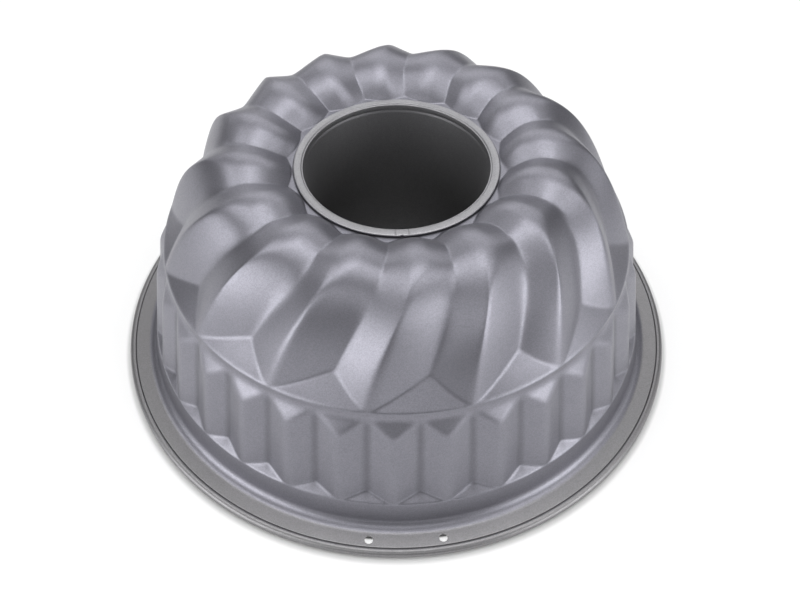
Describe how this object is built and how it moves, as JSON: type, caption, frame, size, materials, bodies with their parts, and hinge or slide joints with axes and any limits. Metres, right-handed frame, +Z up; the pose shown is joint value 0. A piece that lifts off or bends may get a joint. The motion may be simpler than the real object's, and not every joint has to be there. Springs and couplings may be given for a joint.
{
  "type": "kugelhopf mould",
  "caption": "Ring-shaped baking mould in coated sheet steel, with swirled flutes, a ribbed lower wall, a rolled flange with hanging holes and an open tapered centre tube.",
  "frame": {"origin": "bottom centre of the mould as it stands upside down on its rolled rim, on the axis of the centre tube", "axes": "+Z up along the axis of the centre tube, towards the fluted crown; +X to the right and -Y to the front, where the two hanging holes are"},
  "size_m": [0.25, 0.25, 0.102],
  "materials": {
    "shell_coating": "satin non-stick coating with a fine metallic grain, on drawn steel sheet",
    "tube_coating": "satin non-stick coating with a fine metallic grain, on rolled steel sheet"
  },
  "bodies": {
    "root": {"fluted_shell": "shell_coating", "centre_tube": "tube_coating"}
  },
  "joints": []
}
